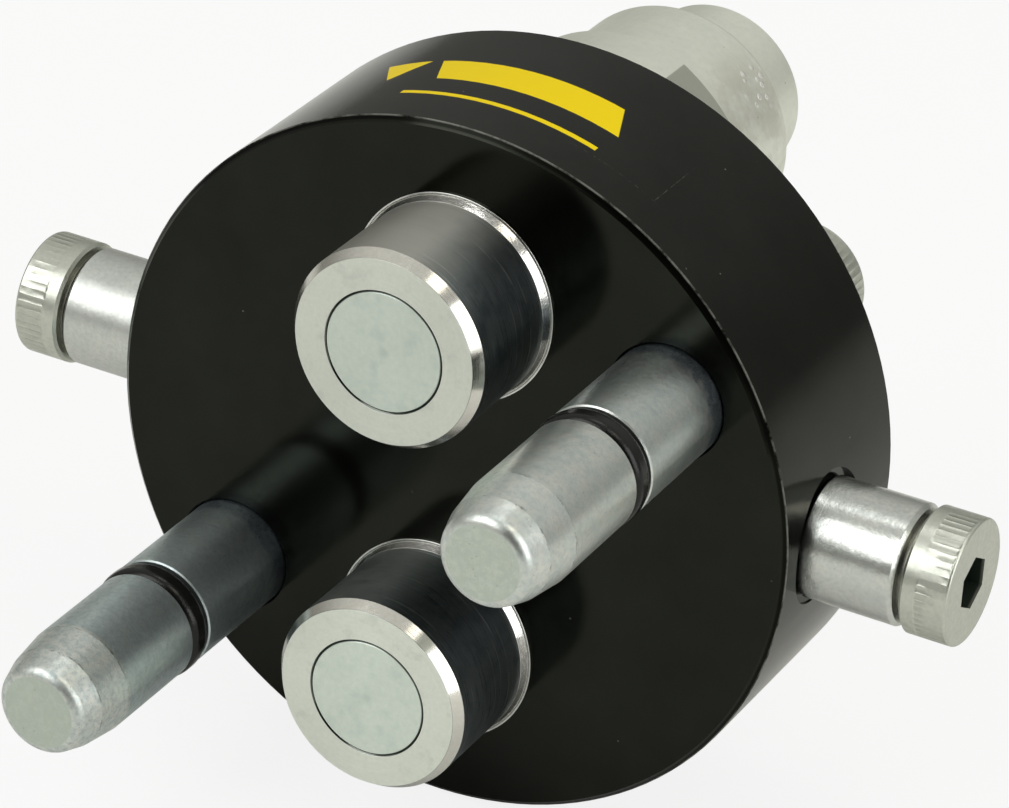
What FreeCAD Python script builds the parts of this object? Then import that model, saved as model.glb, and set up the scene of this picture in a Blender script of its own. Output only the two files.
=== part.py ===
import FreeCAD, Part
import math
import os

import Sketcher

# Two-line multi-coupling: a round plate that carries two flat-faced valve halves, two
# guide pins and two side rollers. Lengths in millimetres. The origin is the centre of the
# plate's mating face; the noses and pins point to -Y, the hose ports to +Y, the side
# rollers lie along X and +Z is up.

os.makedirs("parts", exist_ok=True)
doc = FreeCAD.newDocument("MultiCoupling")

SIZES = {
    # Plate
    "plate_d": 75.0,
    "plate_depth": 24.5,
    "plate_bevel": 0.6,
    # Lines: half the spacing of the two valve halves, and their bore in the plate
    "line_z": 19.4,
    "bore_d": 21.0,
    "bore_gap": 0.1,
    "counterbore_d": 22.2,
    "counterbore_depth": 4.0,
    # Nose of a valve half
    "nose_d": 20.9,
    "nose_reach": 13.7,
    "bevel_radial": 0.75,
    "bevel_axial": 1.1,
    "band_length": 1.1,
    "band_rise": 0.38,
    "flange_length": 2.2,
    "mouth_d": 12.7,
    "mouth_length": 4.1,
    "edge_break": 0.12,
    "chamber_d": 16.0,
    "guide_seat_y": 9.0,
    "guide_seat_d": 16.6,
    "snap_groove_d": 17.8,
    "snap_groove_width": 1.1,
    "tap_d": 17.2,
    "body_end_gap": 0.5,
    "body_groove_y": 5.6,
    # Ring in the mouth of the plate bore
    "ring_wall": 0.23,
    "ring_length": 1.95,
    "ring_proud": 0.25,
    # Valve poppet
    "valve_gap": 0.07,
    "seat_gap": 0.05,
    "collar_d": 14.0,
    "collar_length": 2.0,
    "stem_d": 5.0,
    "stem_end_y": 9.5,
    "stem_root": 1.0,
    "poppet_groove_y": 1.5,
    # Poppet guide
    "stem_gap": 0.05,
    "hub_d": 8.0,
    "hub_reach": 4.2,
    "spring_seat_d": 11.4,
    "spring_seat_rise": 0.8,
    "rim_wall": 1.4,
    "guide_depth": 2.5,
    "window_angle": 84,
    "arm_count": 3,
    # Valve spring
    "spring_wire": 1.0,
    "spring_mean_d": 9.8,
    "spring_turns": 6,
    # Snap ring behind the guide
    "snap_depth": 1.0,
    "snap_wall": 1.4,
    "snap_gap_angle": 38,
    # Port adapter
    "spigot_length": 9.0,
    "shoulder_d": 29.6,
    "shoulder_depth": 11.0,
    "shoulder_bevel": 0.8,
    "wrench_flat_depth": 0.8,
    "wrench_angle": 45,
    "barrel_d": 26.2,
    "barrel_end_y": 47.5,
    "barrel_edge": 0.7,
    "neck_d": 19.2,
    "neck_end_y": 57.6,
    "neck_edge": 0.6,
    "port_d": 11.5,
    "port_depth": 13.0,
    "port_bevel": 0.8,
    "flow_d": 9.6,
    "spigot_groove_y": 1.0,
    # Round seals of the valve halves
    "seal_wire": 1.3,
    "seal_groove_width": 1.8,
    "seal_squeeze": 0.01,
    # Guide pins
    "right_pin_x": 23.5,
    "right_pin_z": 15.1,
    "left_pin_x": -23.8,
    "left_pin_z": -17.5,
    "pin_d": 12.0,
    "pin_lead_d": 11.8,
    "pin_tip_y": 36.2,
    "pin_tip_d": 9.1,
    "pin_tip_round": 1.3,
    "pin_nose_length": 3.0,
    "pin_nose_d": 10.8,
    "pin_taper_length": 4.0,
    "pin_root": 16.0,
    "pin_groove_front": 17.4,
    "pin_groove_back": 14.35,
    "pin_groove_d": 7.8,
    "pin_groove_bevel": 0.15,
    "pin_seal_proud": 0.1,
    "pin_seal_width": 2.75,
    "pin_seal_round": 1.0,
    "pin_seat_bevel": 0.25,
    # M8 low-head screws, used behind the guide pins and through the rollers
    "screw_d": 8.0,
    "screw_head_d": 13.0,
    "screw_head_depth": 5.0,
    "screw_head_round": 0.3,
    "screw_tip_bevel": 0.7,
    "socket_width": 5.0,
    "socket_depth": 3.2,
    "pin_screw_length": 20.0,
    "pin_screw_hole_d": 8.6,
    "washer_d": 15.0,
    "washer_hole_d": 8.4,
    "washer_depth": 1.6,
    # Side rollers
    "side_y": 9.7,
    "spot_face_depth": 0.8,
    "spot_face_d": 14.0,
    "side_thread_length": 13.3,
    "side_hole_spare": 1.5,
    "bush_d": 10.0,
    "bush_hole_d": 8.2,
    "bush_length": 11.3,
    "roller_d": 12.5,
    "roller_length": 10.35,
    "roller_play": 0.1,
    "roller_float": 0.3,
    "roller_bevel": 0.4,
    "side_washer_d": 11.2,
    "side_washer_depth": 0.3,
    "side_angle": 180,
    # Fits
    "press_gap": 0.02,
    "thread_gap": 0.05,
    "running_gap": 0.07,
}


class Size:
    """A length that carries its value together with the sheet formula behind it."""

    def __init__(self, value, formula):
        self.value = float(value)
        self.formula = formula

    @staticmethod
    def of(other):
        if isinstance(other, Size):
            return other
        return Size(other, repr(float(other)))

    def __add__(self, other):
        other = Size.of(other)
        return Size(self.value + other.value, f"({self.formula} + {other.formula})")

    def __sub__(self, other):
        other = Size.of(other)
        return Size(self.value - other.value, f"({self.formula} - {other.formula})")

    def __mul__(self, factor):
        factor = Size.of(factor)
        return Size(self.value * factor.value, f"({self.formula} * {factor.formula})")

    def __truediv__(self, factor):
        factor = Size.of(factor)
        return Size(self.value / factor.value, f"({self.formula} / {factor.formula})")

    def __neg__(self):
        return Size(-self.value, f"(-1 * {self.formula})")


class Sizes:
    """The sheet's sizes, each read by its own name."""

    def __init__(self, table):
        sheet = doc.addObject("Spreadsheet::Sheet", "Sizes")
        for row, (name, value) in enumerate(table.items(), 1):
            sheet.set(f"A{row}", name)
            sheet.set(f"B{row}", str(value))
            sheet.setAlias(f"B{row}", name)
            setattr(self, name, Size(value, f"Sizes.{name}"))
        doc.recompute()


S = Sizes(SIZES)
ZERO = Size(0, "0")


def bind(item, prop, size):
    """Drive one property of an object from the sheet."""
    item.setExpression(prop, size.formula)


def new_body(name, place=None, turn=None):
    """A body with its own name, place (three sizes) and turn (axis, angle size)."""
    body = doc.addObject("PartDesign::Body", name)
    body.Label = name
    if turn:
        axis, angle = turn
        body.Placement = FreeCAD.Placement(
            FreeCAD.Vector(), FreeCAD.Rotation(axis, angle.value)
        )
        bind(body, "Placement.Rotation.Angle", angle)
    for letter, size in zip("xyz", place or ()):
        bind(body, f"Placement.Base.{letter}", size)
    return body


def new_sketch(body, name, role="XY_Plane", lift=None):
    """A sketch on one of the body's own origin planes, moved along its normal by lift."""
    sketch = body.newObject("Sketcher::SketchObject", name)
    plane = next(item for item in body.Origin.OriginFeatures if item.Role == role)
    sketch.AttachmentSupport = (plane, [""])
    sketch.MapMode = "FlatFace"
    if lift:
        bind(sketch, "AttachmentOffset.Base.z", lift)
    return sketch


def hold(sketch, kind, ends, size):
    """Add one dimension of a sketch and drive it from the sheet."""
    number = sketch.addConstraint(Sketcher.Constraint(kind, *ends, size.value))
    bind(sketch, f"Constraints[{number}]", size)


def hold_point(sketch, geometry, point, across, up):
    """Fix a sketch point by its two distances from the sketch origin."""
    for kind, axis, size in (("DistanceX", -2, across), ("DistanceY", -1, up)):
        if abs(size.value) < 1e-9:
            sketch.addConstraint(Sketcher.Constraint("PointOnObject", geometry, point, axis))
        else:
            hold(sketch, kind, (-1, 1, geometry, point), size)


def draw_outline(sketch, corners):
    """Closed outline of straight sides through corners, each given as a pair of sizes."""
    corners = [(Size.of(across), Size.of(up)) for across, up in corners]
    points = [FreeCAD.Vector(across.value, up.value, 0) for across, up in corners]
    first = sketch.GeometryCount
    for start, end in zip(points, points[1:] + points[:1]):
        sketch.addGeometry(Part.LineSegment(start, end), False)
    for step in range(len(points)):
        follower = first + (step + 1) % len(points)
        sketch.addConstraint(Sketcher.Constraint("Coincident", first + step, 2, follower, 1))
    for step, (across, up) in enumerate(corners):
        hold_point(sketch, first + step, 1, across, up)


def draw_circle(sketch, diameter, across=ZERO, up=ZERO):
    """Circle of a given diameter and centre."""
    centre = FreeCAD.Vector(across.value, up.value, 0)
    axis = FreeCAD.Vector(0, 0, 1)
    circle = sketch.addGeometry(Part.Circle(centre, axis, diameter.value / 2), False)
    hold_point(sketch, circle, 3, across, up)
    hold(sketch, "Diameter", (circle,), diameter)


def draw_hexagon(sketch, width):
    """Hexagon of a given width across flats, with two corners on the sketch's second axis."""
    corner = width / math.sqrt(3)
    draw_outline(
        sketch,
        [
            (ZERO, corner),
            (-width / 2, corner / 2),
            (-width / 2, -corner / 2),
            (ZERO, -corner),
            (width / 2, -corner / 2),
            (width / 2, corner / 2),
        ],
    )


def turn_solid(body, name, sketch, axis="V_Axis", sweep=None, kind="Revolution"):
    """Turn a sketch round one of its axes, to add or to cut material."""
    feature = body.newObject(f"PartDesign::{kind}", name)
    feature.Profile = sketch
    feature.ReferenceAxis = (sketch, [axis])
    feature.Angle = 360
    if sweep:
        feature.Angle = sweep.value
        bind(feature, "Angle", sweep)
    doc.recompute()
    return feature


def cut_along(body, name, sketch, depth=None, away=False):
    """Pocket of a given depth, or through everything where no depth is given."""
    before = body.Tip.Shape.Volume
    feature = body.newObject("PartDesign::Pocket", name)
    feature.Profile = sketch
    feature.Reversed = away
    if depth:
        bind(feature, "Length", depth)
    else:
        feature.Type = "ThroughAll"
    doc.recompute()
    if not feature.Shape.Volume < before - 1e-6:
        raise RuntimeError(f"{body.Label}: {name} cuts nothing")
    return feature


def rings(feature, *places, axis="y"):
    """Names of the circular edges with the given radius and place along the axis."""
    names = []
    for number, edge in enumerate(feature.Shape.Edges, 1):
        if not isinstance(edge.Curve, Part.Circle):
            continue
        for radius, station in places:
            off = abs(getattr(edge.Curve.Center, axis) - station.value)
            if off < 1e-4 and abs(edge.Curve.Radius - radius.value) < 1e-4:
                names.append(f"Edge{number}")
    if not names:
        raise RuntimeError(f"{feature.Label}: no edge to dress")
    return names


def dress(body, kind, name, base, edges, size):
    """Fillet or chamfer the named edges of a feature."""
    feature = body.newObject(f"PartDesign::{kind}", name)
    feature.Base = (base, edges)
    bind(feature, "Radius" if kind == "Fillet" else "Size", size)
    doc.recompute()
    return feature


def turned_part(name, corners, place=None, turn=None, axis="V_Axis", sweep=None):
    """A body turned from one closed outline; returns the body and its first feature."""
    body = new_body(name, place, turn)
    sketch = new_sketch(body, f"{name}_outline")
    draw_outline(sketch, corners)
    return body, turn_solid(body, f"{name}_turned", sketch, axis, sweep)


def ring_part(name, outer, inner, start, end, place, turn=None, axis="V_Axis"):
    """A plain ring between two diameters and two stations along its axis."""
    corners = [(inner / 2, start), (outer / 2, start), (outer / 2, end), (inner / 2, end)]
    if axis == "H_Axis":
        corners = [(station, radius) for radius, station in corners]
    return turned_part(name, corners, place, turn, axis)


def round_seal(name, wire, mean_radius, station, place):
    """A round-section seal ring lying across the Y axis."""
    body = new_body(name, place)
    sketch = new_sketch(body, f"{name}_section")
    draw_circle(sketch, wire, mean_radius, station)
    turn_solid(body, f"{name}_turned", sketch)


def build_plate():
    """Plate with stepped bores, pin seats, screw holes and spot faces for the rollers."""
    body = new_body("plate")
    outline = new_sketch(body, "plate_outline", "XZ_Plane")
    draw_circle(outline, S.plate_d)
    disc = body.newObject("PartDesign::Pad", "plate_disc")
    disc.Profile = outline
    disc.Reversed = True
    bind(disc, "Length", S.plate_depth)
    doc.recompute()
    rims = rings(disc, (S.plate_d / 2, ZERO), (S.plate_d / 2, S.plate_depth))
    dress(body, "Chamfer", "plate_bevels", disc, rims, S.plate_bevel)

    bore_sketch = new_sketch(body, "line_bore_circle", "XZ_Plane")
    draw_circle(bore_sketch, S.bore_d, ZERO, S.line_z)
    bore = cut_along(body, "line_bore", bore_sketch)
    mouth_sketch = new_sketch(body, "line_counterbore_circle", "XZ_Plane")
    draw_circle(mouth_sketch, S.counterbore_d, ZERO, S.line_z)
    mouth = cut_along(body, "line_counterbore", mouth_sketch, S.counterbore_depth)
    mirror(body, "lower_line_bore", [bore, mouth], "XY_Plane")

    seats = new_sketch(body, "pin_seat_circles", "XZ_Plane")
    passages = new_sketch(body, "pin_screw_circles", "XZ_Plane")
    for pin_x, pin_z in ((S.right_pin_x, S.right_pin_z), (S.left_pin_x, S.left_pin_z)):
        draw_circle(seats, S.pin_d + S.press_gap * 2, pin_x, pin_z)
        draw_circle(passages, S.pin_screw_hole_d, pin_x, pin_z)
    seated = cut_along(body, "pin_seats", seats, S.pin_root)
    mouths = rings(seated, (S.pin_d / 2 + S.press_gap, ZERO))
    dress(body, "Chamfer", "pin_seat_bevels", seated, mouths, S.pin_seat_bevel)
    cut_along(body, "pin_screw_holes", passages)

    spot_sketch = new_sketch(body, "spot_face_circle", "YZ_Plane", SPOT_X)
    draw_circle(spot_sketch, S.spot_face_d, S.side_y, ZERO)
    spot = cut_along(body, "spot_face", spot_sketch, away=True)
    tap_sketch = new_sketch(body, "side_tap_circle", "YZ_Plane", SPOT_X)
    draw_circle(tap_sketch, S.screw_d + S.thread_gap * 2, S.side_y, ZERO)
    tap_depth = S.side_thread_length + S.side_hole_spare
    tap = cut_along(body, "side_tap", tap_sketch, tap_depth)
    mirror(body, "left_side_tap", [spot, tap], "YZ_Plane")


def mirror(body, name, features, role):
    """Repeat features on the other side of one of the body's origin planes."""
    plane = next(item for item in body.Origin.OriginFeatures if item.Role == role)
    feature = body.newObject("PartDesign::Mirrored", name)
    feature.Originals = features
    feature.MirrorPlane = (plane, [""])
    body.Tip = feature
    doc.recompute()
    return feature


# Stations shared by the pieces of one valve half, along +Y from the mating face
NOSE_Y = -S.nose_reach
SEAT_Y = NOSE_Y + S.mouth_length
COLLAR_Y = SEAT_Y + (S.collar_d - S.mouth_d) / 2 + S.seat_gap
COLLAR_END_Y = COLLAR_Y + S.collar_length
SPRING_END_Y = S.guide_seat_y - S.spring_seat_rise
GUIDE_END_Y = S.guide_seat_y + S.guide_depth
SNAP_END_Y = GUIDE_END_Y + S.snap_groove_width
SPIGOT_Y = S.plate_depth - S.spigot_length
BODY_D = S.bore_d - S.bore_gap * 2
BODY_END_Y = S.plate_depth - S.body_end_gap
SEAL_DEPTH = S.seal_wire + S.seal_squeeze * 2

# Stations of the side rollers, along X from the centre of the plate
SPOT_X = S.plate_d / 2 - S.spot_face_depth
HEAD_X = SPOT_X + S.bush_length


def build_coupling_body(side, place):
    """Stepped sleeve: bevelled nose, polished band, flange, and the valve chamber inside."""
    name = f"{side}_coupling_body"
    nose = S.nose_d / 2
    mouth = S.mouth_d / 2
    chamber = S.chamber_d / 2
    band = nose + S.band_rise
    flange = S.counterbore_d / 2 - S.press_gap
    flange_y = S.counterbore_depth - S.flange_length
    groove_floor = S.bore_d / 2 - SEAL_DEPTH
    groove_end_y = S.body_groove_y + S.seal_groove_width
    body, turned = turned_part(
        name,
        [
            (mouth + S.edge_break, NOSE_Y),
            (nose - S.bevel_radial, NOSE_Y),
            (nose, NOSE_Y + S.bevel_axial),
            (nose, -S.band_length),
            (band, -S.ring_proud),
            (band, flange_y),
            (flange, flange_y),
            (flange, S.counterbore_depth),
            (BODY_D / 2, S.counterbore_depth),
            (BODY_D / 2, S.body_groove_y),
            (groove_floor, S.body_groove_y),
            (groove_floor, groove_end_y),
            (BODY_D / 2, groove_end_y),
            (BODY_D / 2, BODY_END_Y),
            (S.tap_d / 2, BODY_END_Y),
            (S.tap_d / 2, SNAP_END_Y),
            (S.snap_groove_d / 2, SNAP_END_Y),
            (S.snap_groove_d / 2, GUIDE_END_Y),
            (S.guide_seat_d / 2, GUIDE_END_Y),
            (S.guide_seat_d / 2, S.guide_seat_y),
            (chamber, S.guide_seat_y),
            (chamber, SEAT_Y + (S.chamber_d - S.mouth_d) / 2),
            (mouth, SEAT_Y),
            (mouth, NOSE_Y + S.edge_break),
        ],
        place,
    )
    ends = rings(turned, (BODY_D / 2, BODY_END_Y), (S.tap_d / 2, BODY_END_Y))
    dress(body, "Chamfer", f"{name}_rear_bevels", turned, ends, S.edge_break * 2)


def build_valve(side, place):
    """Poppet whose disc closes the nose, its seal, guide, spring and snap ring."""
    disc = S.mouth_d / 2 - S.valve_gap
    stem = S.stem_d / 2
    collar = S.collar_d / 2
    groove_y = NOSE_Y + S.poppet_groove_y
    groove_end_y = groove_y + S.seal_groove_width
    groove_floor = S.mouth_d / 2 - SEAL_DEPTH
    name = f"{side}_valve_poppet"
    body, turned = turned_part(
        name,
        [
            (ZERO, NOSE_Y),
            (disc - S.edge_break, NOSE_Y),
            (disc, NOSE_Y + S.edge_break),
            (disc, groove_y),
            (groove_floor, groove_y),
            (groove_floor, groove_end_y),
            (disc, groove_end_y),
            (disc, SEAT_Y - S.valve_gap + S.seat_gap),
            (collar, COLLAR_Y),
            (collar, COLLAR_END_Y),
            (stem, COLLAR_END_Y),
            (stem, S.stem_end_y),
            (ZERO, S.stem_end_y),
        ],
        place,
    )
    root = rings(turned, (stem, COLLAR_END_Y))
    rounded = dress(body, "Fillet", f"{name}_stem_root", turned, root, S.stem_root)
    end = rings(rounded, (stem, S.stem_end_y))
    dress(body, "Chamfer", f"{name}_stem_end", rounded, end, S.stem_root / 2)
    seal_y = groove_y + S.seal_groove_width / 2
    seal_radius = S.mouth_d / 2 - SEAL_DEPTH / 2
    round_seal(f"{side}_poppet_seal", S.seal_wire, seal_radius, seal_y, place)

    build_poppet_guide(side, place)
    build_valve_spring(side, place)
    build_snap_ring(side, place)


def build_poppet_guide(side, place):
    """Hub and rim joined by three arms, with three windows for the oil between them."""
    name = f"{side}_poppet_guide"
    hole = S.stem_d / 2 + S.stem_gap
    hub = S.hub_d / 2
    rim = S.guide_seat_d / 2 - S.press_gap
    hub_y = S.guide_seat_y - S.spring_seat_rise - S.hub_reach
    body, _ = turned_part(
        name,
        [
            (hole, hub_y),
            (hub, hub_y),
            (hub, SPRING_END_Y),
            (S.spring_seat_d / 2, SPRING_END_Y),
            (S.spring_seat_d / 2, S.guide_seat_y),
            (rim, S.guide_seat_y),
            (rim, GUIDE_END_Y),
            (hole, GUIDE_END_Y),
        ],
        place,
    )
    window = new_sketch(body, f"{name}_window_outline")
    inner = hub + S.stem_gap
    outer = rim - S.rim_wall
    draw_outline(
        window,
        [(inner, SPRING_END_Y), (outer, SPRING_END_Y), (outer, GUIDE_END_Y), (inner, GUIDE_END_Y)],
    )
    opening = turn_solid(body, f"{name}_window", window, sweep=S.window_angle, kind="Groove")
    pattern = body.newObject("PartDesign::PolarPattern", f"{name}_windows")
    pattern.Originals = [opening]
    pattern.Axis = (window, ["V_Axis"])
    bind(pattern, "Occurrences", S.arm_count)
    body.Tip = pattern
    doc.recompute()


def build_valve_spring(side, place):
    """Round-wire coil between the poppet collar and the guide, both ends ground flat."""
    name = f"{side}_valve_spring"
    body = new_body(name, place)
    section = new_sketch(body, f"{name}_section")
    draw_circle(section, S.spring_wire, S.spring_mean_d / 2, COLLAR_END_Y)
    coil = body.newObject("PartDesign::AdditiveHelix", f"{name}_coil")
    coil.Profile = section
    coil.ReferenceAxis = (section, ["V_Axis"])
    coil.Mode = "height-turns-angle"
    bind(coil, "Height", SPRING_END_Y - COLLAR_END_Y)
    bind(coil, "Turns", S.spring_turns)
    doc.recompute()
    reach = S.spring_mean_d / 2 + S.spring_wire
    for end, start_y, end_y in (
        ("front", COLLAR_END_Y - S.spring_wire, COLLAR_END_Y),
        ("rear", SPRING_END_Y, SPRING_END_Y + S.spring_wire),
    ):
        waste = new_sketch(body, f"{name}_{end}_waste")
        draw_outline(waste, [(ZERO, start_y), (reach, start_y), (reach, end_y), (ZERO, end_y)])
        turn_solid(body, f"{name}_{end}_ground", waste, kind="Groove")


def build_snap_ring(side, place):
    """Open flat ring sprung into the groove behind the guide."""
    outer = S.snap_groove_d / 2 - S.press_gap
    inner = outer - S.snap_wall
    end_y = GUIDE_END_Y + S.snap_depth
    turned_part(
        f"{side}_snap_ring",
        [(inner, GUIDE_END_Y), (outer, GUIDE_END_Y), (outer, end_y), (inner, end_y)],
        place,
        sweep=-S.snap_gap_angle + 360,
    )


def build_port_adapter(side, z):
    """Screwed-in rear half: sealed spigot, shoulder with wrench flats, barrel and port."""
    name = f"{side}_port_adapter"
    spigot = S.tap_d / 2 - S.thread_gap
    shoulder = S.shoulder_d / 2
    shoulder_y = S.plate_depth + S.shoulder_depth
    barrel = S.barrel_d / 2
    neck = S.neck_d / 2
    port = S.port_d / 2
    port_y = S.neck_end_y - S.port_depth
    groove_y = SPIGOT_Y + S.spigot_groove_y
    groove_end_y = groove_y + S.seal_groove_width
    groove_floor = S.tap_d / 2 - SEAL_DEPTH
    body, turned = turned_part(
        name,
        [
            (S.flow_d / 2, SPIGOT_Y),
            (spigot, SPIGOT_Y),
            (spigot, groove_y),
            (groove_floor, groove_y),
            (groove_floor, groove_end_y),
            (spigot, groove_end_y),
            (spigot, S.plate_depth),
            (shoulder, S.plate_depth),
            (shoulder, shoulder_y - S.shoulder_bevel),
            (shoulder - S.shoulder_bevel, shoulder_y),
            (barrel, shoulder_y),
            (barrel, S.barrel_end_y),
            (neck, S.barrel_end_y),
            (neck, S.neck_end_y),
            (port + S.port_bevel, S.neck_end_y),
            (port, S.neck_end_y - S.port_bevel),
            (port, port_y),
            (S.flow_d / 2, port_y - (S.port_d - S.flow_d) / 2),
        ],
        (ZERO, ZERO, z),
        (FreeCAD.Vector(0, 1, 0), S.wrench_angle),
    )
    barrel_rim = rings(turned, (barrel, S.barrel_end_y))
    rounded = dress(body, "Fillet", f"{name}_barrel_edge", turned, barrel_rim, S.barrel_edge)
    neck_rim = rings(rounded, (neck, S.neck_end_y))
    dress(body, "Chamfer", f"{name}_neck_bevel", rounded, neck_rim, S.neck_edge)

    flat = new_sketch(body, f"{name}_flat_outlines", "XZ_Plane", -S.plate_depth)
    flat_z = shoulder - S.wrench_flat_depth
    clear_z = shoulder + S.wrench_flat_depth
    for sign in (1, -1):
        draw_outline(
            flat,
            [
                (-shoulder, flat_z * sign),
                (shoulder, flat_z * sign),
                (shoulder, clear_z * sign),
                (-shoulder, clear_z * sign),
            ],
        )
    cut_along(body, f"{name}_wrench_flats", flat, S.shoulder_depth, away=False)


def build_line(side, z):
    """Everything that belongs to one oil line."""
    place = (ZERO, ZERO, z)
    build_coupling_body(side, place)
    build_valve(side, place)
    build_port_adapter(side, z)
    ring_outer = S.counterbore_d - S.press_gap * 2
    ring_inner = ring_outer - S.ring_wall * 2
    name = f"{side}_mouth_ring"
    body, ring = ring_part(
        name, ring_outer, ring_inner, -S.ring_proud, S.ring_length - S.ring_proud, place
    )
    rim = rings(ring, (ring_outer / 2, -S.ring_proud), (ring_inner / 2, -S.ring_proud))
    dress(body, "Fillet", f"{name}_lip", ring, rim, S.ring_wall / 3)
    half_groove = S.seal_groove_width / 2
    seal_y = S.body_groove_y + half_groove
    round_seal(
        f"{side}_body_seal", S.seal_wire, S.bore_d / 2 - SEAL_DEPTH / 2, seal_y, place
    )
    seal_y = SPIGOT_Y + S.spigot_groove_y + half_groove
    round_seal(
        f"{side}_adapter_seal", S.seal_wire, S.tap_d / 2 - SEAL_DEPTH / 2, seal_y, place
    )


def low_head_screw(name, place, turn, head_y, length, axis="V_Axis"):
    """Low-head cap screw: head face at head_y, shank towards the sketch's negative side."""
    head = S.screw_head_d / 2
    shank = S.screw_d / 2
    under_y = head_y - S.screw_head_depth
    tip_y = under_y - length
    corners = [
        (ZERO, tip_y),
        (shank - S.screw_tip_bevel, tip_y),
        (shank, tip_y + S.screw_tip_bevel),
        (shank, under_y),
        (head, under_y),
        (head, head_y),
        (ZERO, head_y),
    ]
    if axis == "H_Axis":
        corners = [(station, radius) for radius, station in corners]
    body, turned = turned_part(name, corners, place, turn, axis)
    letter = "x" if axis == "H_Axis" else "y"
    rim = rings(turned, (head, head_y), axis=letter)
    rounded = dress(body, "Fillet", f"{name}_head_round", turned, rim, S.screw_head_round)
    under = rings(rounded, (head, under_y), axis=letter)
    dress(body, "Chamfer", f"{name}_head_bevel", rounded, under, S.screw_head_round)
    role = "YZ_Plane" if axis == "H_Axis" else "XZ_Plane"
    lift = head_y if axis == "H_Axis" else -head_y
    socket = new_sketch(body, f"{name}_socket_outline", role, lift)
    draw_hexagon(socket, S.socket_width)
    cut_along(body, f"{name}_socket", socket, S.socket_depth, away=axis == "V_Axis")


def build_guide_pin(side, x, z):
    """Guide pin with two tapers and a seal ring, and the screw and washer that hold it."""
    place = (x, ZERO, z)
    lead = S.pin_lead_d / 2
    pin = S.pin_d / 2
    floor = S.pin_groove_d / 2
    tap = S.screw_d / 2 + S.thread_gap
    tap_end_y = S.plate_depth + S.washer_depth - S.pin_screw_length - S.screw_tip_bevel * 3
    edge_y = -S.pin_tip_y + S.pin_nose_length
    name = f"{side}_guide_pin"
    body, turned = turned_part(
        name,
        [
            (ZERO, -S.pin_tip_y),
            (S.pin_tip_d / 2, -S.pin_tip_y),
            (S.pin_nose_d / 2, edge_y),
            (lead, edge_y + S.pin_taper_length),
            (lead, -S.pin_groove_front),
            (floor, -S.pin_groove_front),
            (floor, -S.pin_groove_back),
            (pin - S.pin_groove_bevel, -S.pin_groove_back),
            (pin, -S.pin_groove_back + S.pin_groove_bevel),
            (pin, S.pin_root),
            (tap, S.pin_root),
            (tap, tap_end_y),
            (ZERO, tap_end_y - tap / 2),
        ],
        place,
    )
    tip = rings(turned, (S.pin_tip_d / 2, -S.pin_tip_y))
    rounded = dress(body, "Fillet", f"{name}_tip_round", turned, tip, S.pin_tip_round)
    foot = rings(rounded, (pin, S.pin_root))
    dress(body, "Chamfer", f"{name}_foot_bevel", rounded, foot, S.pin_groove_bevel)

    seal = f"{side}_pin_seal"
    seal_body = new_body(seal, place)
    section = new_sketch(seal_body, f"{seal}_section")
    middle_y = (S.pin_groove_front + S.pin_groove_back) / -2
    half_width = S.pin_seal_width / 2
    inner = floor + S.press_gap
    outer = pin + S.pin_seal_proud
    corners = [
        (inner, middle_y - half_width),
        (outer, middle_y - half_width),
        (outer, middle_y + half_width),
        (inner, middle_y + half_width),
    ]
    draw_outline(section, corners)
    turned = turn_solid(seal_body, f"{seal}_turned", section)
    edges = rings(turned, *corners)
    dress(seal_body, "Fillet", f"{seal}_round", turned, edges, S.pin_seal_round)

    ring_part(
        f"{side}_pin_washer",
        S.washer_d,
        S.washer_hole_d,
        S.plate_depth,
        S.plate_depth + S.washer_depth,
        place,
    )
    head_y = S.plate_depth + S.washer_depth + S.screw_head_depth
    low_head_screw(f"{side}_pin_screw", place, None, head_y, S.pin_screw_length)


def build_side_pin(side, angle, roller_gap):
    """Screw, clamped bush, free roller and thrust washer on one side of the plate.

    The roller stands roller_gap away from the plate.
    """
    place = (ZERO, S.side_y, ZERO)
    turn = (FreeCAD.Vector(0, 0, 1), angle)
    face_x = HEAD_X + S.screw_head_depth
    length = S.bush_length + S.side_thread_length
    low_head_screw(f"{side}_side_screw", place, turn, face_x, length, "H_Axis")
    ring_part(
        f"{side}_side_bush", S.bush_d, S.bush_hole_d, SPOT_X, HEAD_X, place, turn, "H_Axis"
    )
    roller_hole_d = S.bush_d + S.running_gap * 2
    start_x = SPOT_X + roller_gap
    end_x = start_x + S.roller_length
    name = f"{side}_side_roller"
    body, turned = ring_part(
        name, S.roller_d, roller_hole_d, start_x, end_x, place, turn, "H_Axis"
    )
    rims = rings(turned, (S.roller_d / 2, start_x), (S.roller_d / 2, end_x), axis="x")
    dress(body, "Chamfer", f"{name}_bevels", turned, rims, S.roller_bevel)
    ring_part(
        f"{side}_side_washer",
        S.side_washer_d,
        roller_hole_d,
        HEAD_X - S.side_washer_depth,
        HEAD_X,
        place,
        turn,
        "H_Axis",
    )


def check_model(bodies):
    """Stop at any feature that failed and at any body that is not one sound solid."""
    for item in doc.Objects:
        if "Invalid" in item.State or "Error" in item.State:
            raise RuntimeError(f"{item.Label}: {item.State}")
    for body in bodies:
        shape = body.Shape
        if shape.isNull() or not shape.isValid() or len(shape.Solids) != 1:
            raise RuntimeError(f"{body.Label}: not one sound solid")


def main():
    build_plate()
    for side, z in (("upper", S.line_z), ("lower", -S.line_z)):
        build_line(side, z)
    build_guide_pin("right", S.right_pin_x, S.right_pin_z)
    build_guide_pin("left", S.left_pin_x, S.left_pin_z)
    build_side_pin("right", ZERO, S.roller_play)
    build_side_pin("left", S.side_angle, S.roller_play + S.roller_float)
    doc.recompute()
    bodies = [item for item in doc.Objects if item.isDerivedFrom("PartDesign::Body")]
    check_model(bodies)
    for body in bodies:
        body.Shape.exportStep(f"parts/{body.Label}.step")


main()
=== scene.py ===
import math

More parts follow.
